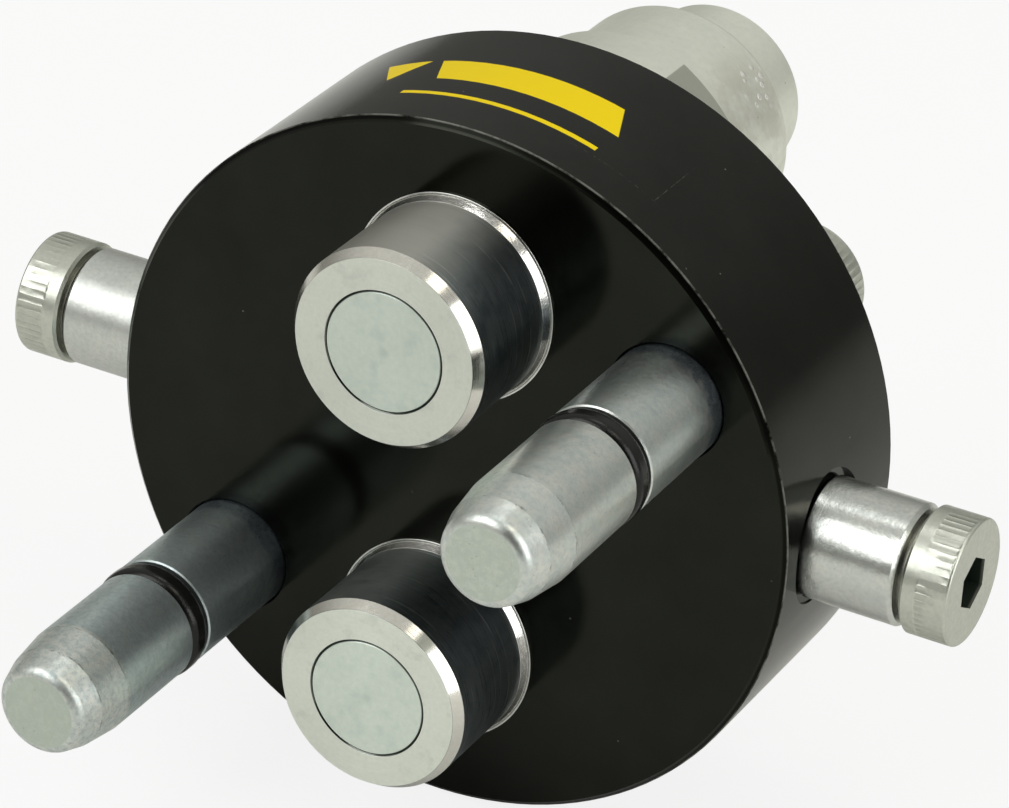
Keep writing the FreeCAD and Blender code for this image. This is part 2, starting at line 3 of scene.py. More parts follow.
import bmesh
import bpy
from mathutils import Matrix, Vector


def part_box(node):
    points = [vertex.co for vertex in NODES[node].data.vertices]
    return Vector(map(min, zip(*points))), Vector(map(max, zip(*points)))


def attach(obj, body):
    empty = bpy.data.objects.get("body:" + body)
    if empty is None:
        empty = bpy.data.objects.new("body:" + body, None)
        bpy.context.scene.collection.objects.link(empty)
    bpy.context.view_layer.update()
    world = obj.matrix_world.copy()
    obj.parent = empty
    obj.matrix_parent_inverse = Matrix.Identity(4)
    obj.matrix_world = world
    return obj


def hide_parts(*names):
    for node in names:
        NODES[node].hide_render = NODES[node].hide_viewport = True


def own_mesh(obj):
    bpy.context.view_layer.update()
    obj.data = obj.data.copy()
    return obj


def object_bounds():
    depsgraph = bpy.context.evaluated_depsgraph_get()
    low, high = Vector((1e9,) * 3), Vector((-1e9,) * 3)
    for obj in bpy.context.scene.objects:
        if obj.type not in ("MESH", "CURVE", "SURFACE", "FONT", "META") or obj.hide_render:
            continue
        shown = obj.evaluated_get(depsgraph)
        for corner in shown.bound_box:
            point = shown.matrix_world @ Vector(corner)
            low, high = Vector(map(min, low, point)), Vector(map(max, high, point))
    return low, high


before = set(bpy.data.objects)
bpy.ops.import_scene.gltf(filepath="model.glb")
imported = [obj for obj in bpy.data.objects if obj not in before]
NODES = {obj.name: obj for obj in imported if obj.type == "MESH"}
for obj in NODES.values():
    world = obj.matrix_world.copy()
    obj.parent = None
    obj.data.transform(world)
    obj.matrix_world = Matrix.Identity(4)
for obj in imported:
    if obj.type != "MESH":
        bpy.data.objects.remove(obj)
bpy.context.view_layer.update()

# Looks of the multi-coupling half. Lengths are in metres, and names that end in _MM are in
# millimetres. The noses point to -Y, the rollers lie along X and +Z is up.

MM = 0.001


def low_mm(node, letter):
    """Lowest station of a node along one axis, in millimetres."""
    return getattr(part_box(node)[0], letter) / MM


def high_mm(node, letter):
    """Highest station of a node along one axis, in millimetres."""
    return getattr(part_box(node)[1], letter) / MM


def centre_mm(node):
    """Middle of a node's box, in millimetres."""
    low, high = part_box(node)
    return (low + high) / 2 / MM


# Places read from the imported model
PLATE_RADIUS_MM = high_mm("plate", "x")
NOSE_FRONT_MM = low_mm("upper_coupling_body", "y")
LINES_MM = {side: centre_mm(f"{side}_coupling_body").z for side in ("upper", "lower")}
PINS_MM = {side: centre_mm(f"{side}_guide_pin") for side in ("right", "left")}
SIDE_Y_MM = centre_mm("right_side_roller").y
SIDE_FACE_MM = high_mm("right_side_screw", "x")
PIN_TIP_MM = low_mm("right_guide_pin", "y")
PIN_SCREW_FACE_MM = high_mm("right_pin_screw", "y")
PORT_END_MM = high_mm("upper_port_adapter", "y")

# Sizes of the solids that the materials and the new pieces follow. Starts, edges and the
# groove are stations along Y, measured from the plate's mating face.
PLATE_BEVEL_MM = 0.6
NOSE_BEVEL_MM = 1.1
BAND_START_MM = -1.1
MOUTH_RADIUS_MM = 6.35
VALVE_RADIUS_MM = 6.28
PIN_EDGES_MM = (-29.2, -33.2)
PIN_GROOVE_MM = -14.3
SCREW_HEAD_RADIUS_MM = 6.5
SOCKET_REACH_MM = 3.1
FLAT_DISTANCE_MM = 14.0
FLAT_DIRECTION = (math.sqrt(0.5), 0.0, math.sqrt(0.5))
PORT_RADIUS_MM = 5.75
PORT_THREAD_LENGTH_MM = 11.5
PORT_THREAD_PITCH_MM = 1.337
PORT_THREAD_DEPTH_MM = 0.55

# How the two pieces of a pair differ in finish, and in painted light, shade and reflection
# Painted light: the lower nose's end face and valve are coloured brighter than the upper ones.
END_FACE_PAINTED_LIGHT_GAIN = {"upper": 1.0, "lower": 1.17}
# Painted light: where the nose side's painted lighter top left begins; the lower nose gets less of
# it.
NOSE_PAINTED_LIGHT_START = {"upper": 0.45, "lower": 0.85}
# Painted reflection: where a pin's rear is tinted dark bluish for the plate it reflects, and how
# strongly.
PIN_REFLECTION_START_MM = {"right": PIN_GROOVE_MM, "left": PIN_EDGES_MM[0] + 0.4}
PIN_REFLECTION_SHARE = {"right": 0.2, "left": 0.5}
PIN_MOTTLE = {"right": 0.42, "left": 0.72}
PIN_FROST = {"right": 0.0, "left": 0.06}
ROLLER_FROST = {"right": 0.0, "left": 0.14}


class Look:
    """One material, with short calls for the nodes that it is made of."""

    def __init__(self, name):
        self.material = bpy.data.materials.new(name)
        self.material.use_nodes = True
        self.tree = self.material.node_tree
        self.surface = self.tree.nodes["Principled BSDF"]
        place = self.tree.nodes.new("ShaderNodeTexCoord").outputs["Object"]
        self.place = self.vector("SCALE", place, scale=1 / MM)

    def feed(self, socket, value):
        """Link a socket, or set it to a plain number, colour or vector."""
        if isinstance(value, bpy.types.NodeSocket):
            self.tree.links.new(value, socket)
        elif socket.type == "RGBA":
            red, green, blue = value if isinstance(value, tuple) else (value,) * 3
            socket.default_value = (red, green, blue, 1)
        else:
            socket.default_value = value

    def set(self, **values):
        """Set inputs of the surface shader by name, with _ for a space."""
        for name, value in values.items():
            self.feed(self.surface.inputs[name.replace("_", " ")], value)

    def node(self, kind, inputs=(), output=0, **settings):
        """Add one node and return one of its outputs."""
        node = self.tree.nodes.new(kind)
        for name, value in settings.items():
            setattr(node, name, value)
        for key, value in dict(inputs).items():
            self.feed(node.inputs[key], value)
        return node.outputs[output]

    def math(self, operation, first, second=0.0, third=0.0):
        """Result of a sum on up to three values."""
        inputs = {0: first, 1: second, 2: third}
        return self.node("ShaderNodeMath", inputs, operation=operation)

    def times(self, first, *others):
        """Product of values; of masks, the place where all of them hold."""
        for other in others:
            first = self.math("MULTIPLY", first, other)
        return first

    def most(self, first, *others):
        """Largest of some values; of masks, the place where any of them holds."""
        for other in others:
            first = self.math("MAXIMUM", first, other)
        return first

    def vector(self, operation, first, second=(0, 0, 0), scale=1.0, output=0):
        """Result of a sum on one or two vectors; output 1 is a plain number."""
        inputs = {0: first, 3: scale} if operation == "SCALE" else {0: first, 1: second}
        return self.node("ShaderNodeVectorMath", inputs, output, operation=operation)

    def part(self, vector, letter):
        """One component of a vector."""
        return self.node("ShaderNodeSeparateXYZ", {0: vector}, "XYZ".index(letter))

    def join(self, x=0.0, y=0.0, z=0.0):
        """A vector from its components."""
        return self.node("ShaderNodeCombineXYZ", {0: x, 1: y, 2: z})

    def noise(self, scale, detail=2.0, rough=0.5, place=None):
        """Noise from 0 to 1 whose features are about 1 / scale millimetres."""
        inputs = {
            "Vector": self.place if place is None else place,
            "Scale": scale,
            "Detail": detail,
            "Roughness": rough,
        }
        return self.node("ShaderNodeTexNoise", inputs)

    def specks(self, scale, size, share):
        """Small round spots on part of a random scatter."""
        inputs = {"Vector": self.place, "Scale": scale}
        distance = self.node("ShaderNodeTexVoronoi", inputs)
        spot = self.step(distance, size, size * 0.5)
        return self.times(spot, self.step(self.noise(scale * 0.5), 1.02 - share, 1.1 - share))

    def step(self, value, start, end, low=0.0, high=1.0):
        """Smooth step of a value from start to end, given as low to high."""
        inputs = {0: value, 1: start, 2: end, 3: low, 4: high}
        return self.node("ShaderNodeMapRange", inputs, interpolation_type="SMOOTHSTEP")

    def scale_to(self, value, low, high):
        """A value from 0 to 1 mapped straight to low to high."""
        return self.node("ShaderNodeMapRange", {0: value, 1: 0.0, 2: 1.0, 3: low, 4: high})

    def blend(self, factor, first, second):
        """Mix two colours or values."""
        inputs = {0: factor, 6: first, 7: second}
        return self.node("ShaderNodeMix", inputs, 2, data_type="RGBA")

    def stain(self, colour, mask, strength, tint):
        """Lay a tint over a colour where a mask holds."""
        return self.blend(self.math("MULTIPLY", mask, strength), colour, tint)

    def inside(self, value, low, high, edge):
        """1 where a value lies between low and high, with soft edges."""
        rise = self.step(value, low - edge, low + edge)
        fall = self.step(value, high - edge, high + edge, 1.0, 0.0)
        return self.math("MULTIPLY", rise, fall)

    def bump(self, height, distance_mm, strength=1.0, normal=None):
        """Normal of a surface raised by a height, on top of another normal if one is given."""
        inputs = {"Height": height, "Distance": distance_mm * MM, "Strength": strength}
        if normal is not None:
            inputs["Normal"] = normal
        return self.node("ShaderNodeBump", inputs)


class Turned:
    """Coordinates of a turned surface round an axis, with its lathe lines."""

    def __init__(self, look, axis, centre):
        self.look = look
        offset = look.vector("SUBTRACT", look.place, tuple(centre))
        flat = tuple(0.0 if letter == axis else 1.0 for letter in "XYZ")
        along = tuple(1.0 - value for value in flat)
        self.along = look.part(look.place, axis)
        self.offset = look.vector("MULTIPLY", offset, flat)
        self.radius = look.vector("LENGTH", self.offset, output=1)
        self.outward = look.vector("NORMALIZE", self.offset)
        first, second = (letter for letter in "XYZ" if letter != axis)
        self.angle = look.math(
            "ARCTAN2", look.part(self.outward, first), look.part(self.outward, second)
        )
        slope = look.vector("ADD", self.outward, along)
        self.tangent = look.node(
            "ShaderNodeVectorTransform",
            {0: slope},
            vector_type="VECTOR",
            convert_from="OBJECT",
            convert_to="WORLD",
        )

    def lines(self, pitch_mm, run=2.0, detail=3.0):
        """Fine lines round the axis; run sets how often they break along the turn."""
        look = self.look
        path = look.math("ADD", self.radius, self.along)
        fine = look.math("MULTIPLY", path, 1 / pitch_mm)
        around = look.vector("SCALE", self.outward, scale=run)
        place = look.vector("ADD", around, look.join(fine, fine, 0.0))
        return look.noise(1.0, detail, 0.6, place)


def rim_marks(look, turned):
    """Plain yellow marks on top of the rim: a leaning bar, a pointer and a thin stripe."""
    run = look.math("MULTIPLY", turned.angle, PLATE_RADIUS_MM)
    y = turned.along
    edge = 0.05
    front, rear = 10.4, 15.2
    row = look.inside(y, front, rear, edge)
    bar_start, bar_end, bar_slope = -4.6, 15.8, 0.4
    lean = look.math("MULTIPLY_ADD", y, bar_slope, run)
    bar = look.times(look.inside(lean, bar_start, bar_end, edge), row)
    pointer_run, pointer_slope = -14.6, 0.55
    aside = look.math("ABSOLUTE", look.math("ADD", run, -pointer_run))
    width = look.math("MULTIPLY_ADD", y, pointer_slope, -front * pointer_slope)
    past = look.math("SUBTRACT", width, aside)
    pointer = look.times(look.step(past, -edge, edge), row)
    stripe_start, stripe_end = -10.6, 11.2
    stripe_front, stripe_rear = 6.3, 7.0
    stripe = look.times(
        look.inside(run, stripe_start, stripe_end, edge),
        look.inside(y, stripe_front, stripe_rear, edge),
    )
    return look.most(bar, pointer, stripe)


def film_outline(look, turned):
    """Faint edge of a clear protective film that lies over the marks."""
    run = look.math("ABSOLUTE", look.math("MULTIPLY", turned.angle, PLATE_RADIUS_MM))
    y = turned.along
    half_length, front_line_start = 18.9, 9.0
    front, fade_start, fade_end = 5.4, 10.0, 15.0
    line, edge, front_line_edge = 0.04, 0.03, 0.8
    ends = look.times(
        look.inside(run, half_length - line, half_length + line, edge),
        look.step(y, front - line, front),
        look.step(y, fade_end, fade_start),
    )
    front_line = look.times(
        look.inside(y, front - line, front + line, edge),
        look.inside(run, front_line_start, half_length, front_line_edge),
    )
    broken = look.step(look.noise(1.1, 4, 0.7), 0.42, 0.66)
    return look.times(look.most(ends, front_line), broken)


def anodised_black():
    """Satin black anodised aluminium with a fine grain, marks on top and a worn front edge."""
    look = Look("anodised_black")
    turned = Turned(look, "Y", (0, 0, 0))
    grain = look.noise(6, 3, 0.75)
    clouds = look.noise(0.09, 3, 0.6)
    smears = look.noise(0.5, 4, 0.65)
    on_rim = look.step(turned.radius, PLATE_RADIUS_MM - 0.05, PLATE_RADIUS_MM - 0.01)
    on_edge = look.step(turned.radius, PLATE_RADIUS_MM - 0.16, PLATE_RADIUS_MM - 0.06)
    near_front = look.inside(turned.along, PLATE_BEVEL_MM - 0.2, PLATE_BEVEL_MM + 0.05, 0.05)
    worn = look.times(on_edge, near_front, look.step(look.noise(0.3, 5, 0.7), 0.36, 0.58))
    outer_bevel = look.times(
        look.inside(turned.along, 0.05, PLATE_BEVEL_MM - 0.05, 0.04),
        look.step(turned.radius, PLATE_RADIUS_MM - 0.50, PLATE_RADIUS_MM - 0.32),
    )

    black = look.blend(clouds, (0.0006, 0.0007, 0.0005), (0.0018, 0.0020, 0.0014))
    colour = look.stain(black, look.specks(0.45, 0.06, 0.45), 0.7, (0.16, 0.16, 0.15))
    colour = look.stain(colour, worn, 0.85, (0.17, 0.17, 0.155))
    marks = look.times(on_rim, rim_marks(look, turned))
    film = look.times(on_rim, film_outline(look, turned))
    colour = look.stain(colour, film, 0.4, (0.16, 0.16, 0.15))
    colour = look.stain(colour, marks, 1.0, (0.86, 0.64, 0.004))

    satin = look.math("ADD", look.scale_to(clouds, 0.04, 0.10), look.scale_to(smears, 0.0, 0.06))
    lines = turned.lines(0.08, 3.0)
    fine = look.bump(grain, 0.0030)
    shine = look.math("ADD", look.scale_to(clouds, 0.17, 0.29), look.scale_to(grain, -0.07, 0.07))
    shine = look.times(
        shine, look.scale_to(outer_bevel, 1.0, 0.35), look.scale_to(marks, 1.0, 0.4)
    )
    look.set(
        Base_Color=colour,
        Roughness=look.blend(marks, satin, 0.34),
        Specular_IOR_Level=shine,
        Specular_Tint=(0.93, 1.0, 0.80),
        Normal=look.bump(lines, 0.0014, 0.5, fine),
    )
    return look.material


def nose_steel(side):
    """Turned steel: matt end face, ground side with painted light (lighter and rougher at its top
    left, darker elsewhere), polished bevel and root band.
    """
    look = Look(f"{side}_nose_steel")
    turned = Turned(look, "Y", (0, 0, LINES_MM[side]))
    lines = turned.lines(0.14, 2.5, 4)
    coarse = turned.lines(0.9, 0.8, 2)
    scratches = look.step(turned.lines(0.40, 1.2, 2), 0.62, 0.68)
    smudges = look.noise(0.35, 4, 0.65)
    spots = look.noise(2.2, 4, 0.65)
    chatter = look.noise(1.5, 3, 0.6)

    end_face = look.step(turned.along, NOSE_FRONT_MM + 0.04, NOSE_FRONT_MM + 0.01)
    bevel = look.inside(
        turned.along, NOSE_FRONT_MM + 0.06, NOSE_FRONT_MM + NOSE_BEVEL_MM, 0.04
    )
    band = look.step(turned.along, BAND_START_MM - 0.02, BAND_START_MM + 0.06)
    # Painted shade: a near-black ring on the end face by the gap round the valve.
    painted_gap_shade = look.times(
        look.step(turned.radius, MOUTH_RADIUS_MM + 0.13, MOUTH_RADIUS_MM + 0.07),
        look.step(turned.along, NOSE_FRONT_MM + 0.6, NOSE_FRONT_MM + 0.3),
    )

    # Painted light: the ground side is coloured lighter towards its top left, where light falls,
    # and darker elsewhere; that zone is also rougher.
    upper_left = look.vector("DOT_PRODUCT", turned.outward, (-0.45, 0.0, 0.89), output=1)
    frayed = look.math("MULTIPLY_ADD", smudges, 0.3, upper_left)
    rough_painted_light_top = look.step(frayed, NOSE_PAINTED_LIGHT_START[side], NOSE_PAINTED_LIGHT_START[side] + 0.6)
    side_steel = look.blend(lines, (0.16, 0.20, 0.21), (0.31, 0.34, 0.34))
    side_steel = look.stain(side_steel, scratches, 0.6, (0.66, 0.69, 0.67))
    side_steel = look.stain(side_steel, look.step(smudges, 0.42, 0.70), 0.6, (0.10, 0.135, 0.15))
    painted_lit_steel = look.blend(lines, (0.31, 0.31, 0.28), (0.39, 0.385, 0.35))
    side_steel = look.blend(rough_painted_light_top, side_steel, painted_lit_steel)
    rings = turned.lines(0.5, 1.5, 3)
    face_steel = look.blend(spots, (0.64, 0.68, 0.61), (0.79, 0.815, 0.75))
    face_steel = look.stain(face_steel, look.step(rings, 0.50, 0.70), 0.16, (0.84, 0.86, 0.80))
    face_steel = look.stain(face_steel, look.step(smudges, 0.52, 0.72), 0.5, (0.56, 0.60, 0.55))
    # Painted light: the lower nose's end face is coloured brighter.
    face_steel = look.vector("SCALE", face_steel, scale=END_FACE_PAINTED_LIGHT_GAIN[side])
    colour = look.blend(end_face, side_steel, face_steel)
    burnt = look.blend(spots, (0.66, 0.64, 0.57), (0.82, 0.81, 0.76))
    colour = look.blend(bevel, colour, burnt)
    colour = look.blend(band, colour, (0.84, 0.83, 0.79))
    colour = look.stain(colour, painted_gap_shade, 0.85, (0.035, 0.045, 0.035))

    side_rough = look.math(
        "ADD", look.scale_to(lines, 0.20, 0.32), look.scale_to(coarse, 0.0, 0.06)
    )
    side_rough = look.blend(rough_painted_light_top, side_rough, look.scale_to(lines, 0.46, 0.58))
    rough = look.blend(end_face, side_rough, look.scale_to(spots, 0.42, 0.54))
    rough = look.blend(bevel, rough, look.scale_to(chatter, 0.08, 0.24))
    rough = look.blend(band, rough, look.scale_to(chatter, 0.08, 0.22))
    stretch = look.blend(end_face, look.scale_to(rough_painted_light_top, 0.60, 0.82), 0.4)
    stretch = look.blend(band, look.blend(bevel, stretch, 0.3), 0.8)
    height = look.math("ADD", lines, look.math("MULTIPLY", coarse, 1.5))
    broken = look.times(band, chatter)
    look.set(
        Base_Color=colour,
        Metallic=1.0,
        Roughness=rough,
        Anisotropic=stretch,
        Tangent=turned.tangent,
        Normal=look.bump(broken, 0.035, 0.8, look.bump(height, 0.006, 0.6)),
    )
    return look.material


def valve_steel(side):
    """Zinc-plated valve disc with faint turning rings and a small centre mark."""
    look = Look(f"{side}_valve_steel")
    turned = Turned(look, "Y", (0, 0, LINES_MM[side]))
    lines = turned.lines(0.22, 2.0, 3)
    mottle = look.noise(1.6, 4, 0.65)
    stained = look.step(look.noise(0.45, 3, 0.6), 0.45, 0.75)
    centre = look.step(turned.radius, 0.9, 0.1)
    # Painted shade: a near-black ring at the valve's rim by the gap.
    painted_gap_shade = look.step(turned.radius, VALVE_RADIUS_MM - 0.10, VALVE_RADIUS_MM - 0.04)
    rings = turned.lines(0.55, 0.8, 3)
    colour = look.blend(mottle, (0.58, 0.655, 0.60), (0.75, 0.81, 0.735))
    colour = look.stain(colour, look.step(rings, 0.50, 0.70), 0.12, (0.78, 0.83, 0.77))
    colour = look.stain(colour, stained, 0.35, (0.46, 0.55, 0.52))
    colour = look.stain(colour, centre, 0.35, (0.40, 0.48, 0.45))
    # Painted light: the lower valve is coloured brighter.
    colour = look.vector("SCALE", colour, scale=END_FACE_PAINTED_LIGHT_GAIN[side])
    colour = look.stain(colour, painted_gap_shade, 0.85, (0.035, 0.045, 0.035))
    height = look.math("SUBTRACT", lines, look.math("MULTIPLY", centre, 5.0))
    look.set(
        Base_Color=colour,
        Metallic=1.0,
        Roughness=look.scale_to(mottle, 0.42, 0.56),
        Anisotropic=0.3,
        Tangent=turned.tangent,
        Normal=look.bump(height, 0.006, 0.5),
    )
    return look.material


def pin_zinc(side):
    """Dull mottled zinc of a guide pin, with painted dark bluish reflections of the plate on its
    rear and at its root, and chipped tip edges.
    """
    look = Look(f"{side}_pin_zinc")
    turned = Turned(look, "Y", PINS_MM[side])
    lines = turned.lines(0.3, 3.0, 3)
    patches = look.noise(0.55, 4, 0.62)
    mottle = look.noise(1.7, 5, 0.7)
    fine = look.noise(7.0, 3, 0.65)
    clouds = look.noise(0.25, 3, 0.6)
    tip = look.step(turned.along, PIN_TIP_MM + 0.05, PIN_TIP_MM + 0.01)
    # Painted reflection: the pin's rear, and a ragged band at its root by the plate, are tinted
    # dark bluish for the plate they reflect.
    reflection_start = PIN_REFLECTION_START_MM[side]
    painted_plate_reflection = look.step(turned.along, reflection_start - 0.1, reflection_start + 0.1)
    ragged = look.math("MULTIPLY_ADD", look.noise(0.8, 4, 0.65), 3.5, turned.along)
    root = look.step(ragged, -0.9, 0.6)

    wander = look.math("MULTIPLY_ADD", look.noise(1.1, 3), 0.7, turned.along)
    first, second = PIN_EDGES_MM
    chips = look.most(
        look.inside(wander, first + 0.28, first + 0.42, 0.07),
        look.inside(wander, second + 0.28, second + 0.46, 0.09),
    )
    chips = look.times(chips, look.step(look.noise(0.6, 4, 0.7), 0.50, 0.58))

    warm = look.blend(clouds, (0.64, 0.655, 0.61), (0.76, 0.775, 0.72))
    cool = look.blend(clouds, (0.57, 0.62, 0.59), (0.68, 0.73, 0.69))
    colour = look.blend(look.step(patches, 0.36, 0.64), cool, warm)
    colour = look.stain(colour, painted_plate_reflection, PIN_REFLECTION_SHARE[side], (0.42, 0.53, 0.57))
    # Painted reflection: dark bluish tint of the root by the plate.
    painted_root_reflection_tint = look.blend(look.step(fine, 0.42, 0.66), (0.15, 0.19, 0.25), (0.42, 0.47, 0.52))
    colour = look.stain(colour, root, 0.85, painted_root_reflection_tint)
    mottled = look.step(mottle, 0.38, 0.70, 0.0, PIN_MOTTLE[side])
    colour = look.blend(mottled, colour, (0.36, 0.42, 0.43))
    tip_zinc = look.blend(look.step(mottle, 0.40, 0.66), (0.46, 0.53, 0.46), (0.60, 0.66, 0.58))
    colour = look.stain(colour, tip, 0.75, tip_zinc)
    colour = look.stain(colour, look.specks(1.3, 0.13, 0.55), 0.45, (0.22, 0.24, 0.23))
    colour = look.stain(colour, chips, 0.6, (0.15, 0.155, 0.14))
    rough = look.scale_to(mottle, 0.22 + PIN_FROST[side], 0.48 + PIN_FROST[side])
    rough = look.math("ADD", rough, look.scale_to(fine, -0.05, 0.05))
    height = look.math("ADD", look.math("MULTIPLY", lines, 0.4), look.math("ADD", mottle, fine))
    waves = look.bump(patches, 0.05, 0.8)
    look.set(
        Base_Color=colour,
        Metallic=1.0,
        Roughness=rough,
        Anisotropic=0.2,
        Tangent=turned.tangent,
        Normal=look.bump(height, 0.016, 0.7, waves),
    )
    return look.material


def roller_zinc(side):
    """Bright zinc of a roller, brushed round the turn, frosted and a little wavy."""
    look = Look(f"{side}_roller_zinc")
    turned = Turned(look, "X", (0, SIDE_Y_MM, 0))
    lines = turned.lines(0.22, 2.2, 3)
    mottle = look.noise(2.0, 5, 0.72)
    fine = look.noise(7.0, 3, 0.65)
    waves = look.noise(0.5, 3, 0.55)
    colour = look.blend(waves, (0.58, 0.62, 0.60), (0.78, 0.78, 0.72))
    colour = look.blend(look.step(mottle, 0.30, 0.75, 0.0, 0.6), colour, (0.46, 0.49, 0.47))
    colour = look.stain(colour, look.specks(1.1, 0.12, 0.45), 0.4, (0.26, 0.28, 0.27))
    frost = look.scale_to(mottle, 0.18 + ROLLER_FROST[side], 0.29 + ROLLER_FROST[side])
    rough = look.math("ADD", frost, look.scale_to(lines, -0.03, 0.04))
    ripple = look.bump(waves, 0.06, 0.8)
    height = look.math("ADD", lines, look.math("ADD", mottle, fine))
    look.set(
        Base_Color=colour,
        Metallic=1.0,
        Roughness=rough,
        Anisotropic=0.2,
        Tangent=turned.tangent,
        Normal=look.bump(height, 0.007, 0.6, ripple),
    )
    return look.material


def screw_zinc(name, axis, centre, face):
    """Zinc of a low-head screw: coarse straight knurl round the head with painted shade in its
    grooves, and painted shade in the socket.
    """
    look = Look(name)
    turned = Turned(look, axis, centre)
    station = look.math("ABSOLUTE", turned.along)
    mottle = look.noise(2.0, 5, 0.68)
    clouds = look.noise(0.4, 3, 0.6)
    fine = look.noise(7.0, 3, 0.65)
    lines = turned.lines(0.25, 2.5, 3)
    head_side = look.step(
        turned.radius, SCREW_HEAD_RADIUS_MM - 0.25, SCREW_HEAD_RADIUS_MM - 0.12
    )
    knurl_start, knurl_end = face - 3.3, face - 0.35
    knurled = look.times(head_side, look.inside(station, knurl_start, knurl_end, 0.15))
    tooth_count = 54
    waver = look.math("MULTIPLY", look.noise(0.7, 2), 0.4)
    turn = look.math("MULTIPLY_ADD", turned.angle, tooth_count / 2, waver)
    tooth = look.math("POWER", look.math("ABSOLUTE", look.math("SINE", turn)), 0.6)
    depth = look.step(look.noise(0.25, 2), 0.40, 0.62, 0.08, 0.9)
    # Painted shade: the inside of the hex socket is coloured nearly black.
    painted_socket_shade = look.times(
        look.step(turned.radius, SOCKET_REACH_MM, SOCKET_REACH_MM - 0.1),
        look.step(station, face - 0.15, face - 0.40),
    )
    colour = look.blend(clouds, (0.56, 0.59, 0.52), (0.70, 0.71, 0.63))
    colour = look.blend(look.step(mottle, 0.30, 0.75, 0.0, 0.5), colour, (0.46, 0.48, 0.42))
    # Painted shade: the knurl's grooves are coloured darker.
    colour = look.stain(colour, look.times(knurled, tooth, depth), 0.3, (0.36, 0.37, 0.32))
    colour = look.stain(colour, look.specks(1.2, 0.1, 0.4), 0.4, (0.25, 0.26, 0.23))
    colour = look.stain(colour, painted_socket_shade, 0.95, (0.09, 0.125, 0.10))
    cut = look.bump(look.times(knurled, tooth), -0.085, depth)
    height = look.math("ADD", lines, look.math("ADD", mottle, fine))
    look.set(
        Base_Color=colour,
        Metallic=1.0,
        Roughness=look.scale_to(mottle, 0.26, 0.44),
        Anisotropic=0.2,
        Tangent=turned.tangent,
        Normal=look.bump(height, 0.009, 0.6, cut),
    )
    return look.material


def washer_steel():
    """Dark steel of the thin side washers and the clamped bushes."""
    look = Look("washer_steel")
    film = look.noise(1.8, 4, 0.65)
    look.set(
        Base_Color=look.blend(film, (0.12, 0.125, 0.105), (0.30, 0.29, 0.255)),
        Metallic=0.9,
        Roughness=look.scale_to(film, 0.30, 0.48),
        Normal=look.bump(look.noise(6, 3), 0.008, 0.5),
    )
    return look.material


def adapter_steel(side):
    """Matt pale passivated steel of the hose adapters, with darker sawn flats and, on the
    upper one, a darker brownish patch and a scuff with painted white glints.
    """
    look = Look(f"{side}_adapter_steel")
    turned = Turned(look, "Y", (0, 0, LINES_MM[side]))
    mottle = look.noise(1.2, 5, 0.68)
    clouds = look.noise(0.16, 3, 0.6)
    lines = turned.lines(0.3, 2.0, 3)
    reach = look.vector("DOT_PRODUCT", turned.offset, FLAT_DIRECTION, output=1)
    reach = look.math("ABSOLUTE", reach)
    flat = look.times(
        look.step(reach, FLAT_DISTANCE_MM - 0.06, FLAT_DISTANCE_MM - 0.02),
        look.step(reach, FLAT_DISTANCE_MM + 0.06, FLAT_DISTANCE_MM + 0.02),
    )
    saw = look.noise(1.0, 3, 0.6, look.vector("MULTIPLY", look.place, (5.0, 0.4, 5.0)))
    brown_patch_place = (12, 42, 25)
    scuffed_place = (10.3, 44.3, 27.5)
    colour = look.blend(clouds, (0.70, 0.745, 0.66), (0.90, 0.91, 0.81))
    colour = look.blend(look.step(mottle, 0.36, 0.70, 0.0, 0.22), colour, (0.60, 0.61, 0.53))
    # A darker brownish patch on the upper adapter's barrel.
    near_brown_patch = look.step(look.vector("DISTANCE", look.place, brown_patch_place, output=1), 10, 3)
    brown_patch = look.times(near_brown_patch, look.step(look.noise(0.3, 3), 0.35, 0.6))
    colour = look.stain(colour, brown_patch, 0.38, (0.50, 0.47, 0.39))
    colour = look.stain(colour, look.specks(0.7, 0.10, 0.5), 0.5, (0.20, 0.20, 0.17))
    colour = look.stain(colour, flat, 0.8, (0.38, 0.39, 0.335))
    # Painted highlight: the scuff's specks are coloured white to stand for glints; they are also
    # smoother and raised.
    near_scuff = look.step(look.vector("DISTANCE", look.place, scuffed_place, output=1), 3.4, 1.6)
    scuff_painted_glints = look.times(look.specks(0.9, 0.40, 1.0), near_scuff)
    colour = look.stain(colour, scuff_painted_glints, 1.0, (1.0, 1.0, 0.97))
    rough = look.math("SUBTRACT", look.scale_to(mottle, 0.36, 0.50), look.times(scuff_painted_glints, 0.2))
    height = look.math("ADD", look.blend(flat, lines, saw), mottle)
    look.set(
        Base_Color=colour,
        Metallic=0.75,
        Roughness=rough,
        Normal=look.bump(height, 0.010, 0.5, look.bump(scuff_painted_glints, 0.08, 0.9)),
    )
    return look.material


def polished_steel():
    """The bright rings round the nose roots, with tool chatter."""
    look = Look("polished_steel")
    chatter = look.noise(1.8, 3, 0.6)
    look.set(
        Base_Color=look.blend(chatter, (0.45, 0.46, 0.44), (0.80, 0.80, 0.77)),
        Metallic=1.0,
        Roughness=look.scale_to(chatter, 0.08, 0.25),
        Normal=look.bump(chatter, 0.025, 0.6),
    )
    return look.material


def seal_rubber():
    """Oiled black nitrile rubber."""
    look = Look("seal_rubber")
    skin = look.noise(5, 4, 0.65)
    look.set(
        Base_Color=look.blend(skin, (0.004, 0.004, 0.004), (0.011, 0.011, 0.010)),
        Roughness=look.scale_to(skin, 0.04, 0.16),
        Specular_IOR_Level=0.28,
        Normal=look.bump(skin, 0.030, 0.7),
    )
    return look.material


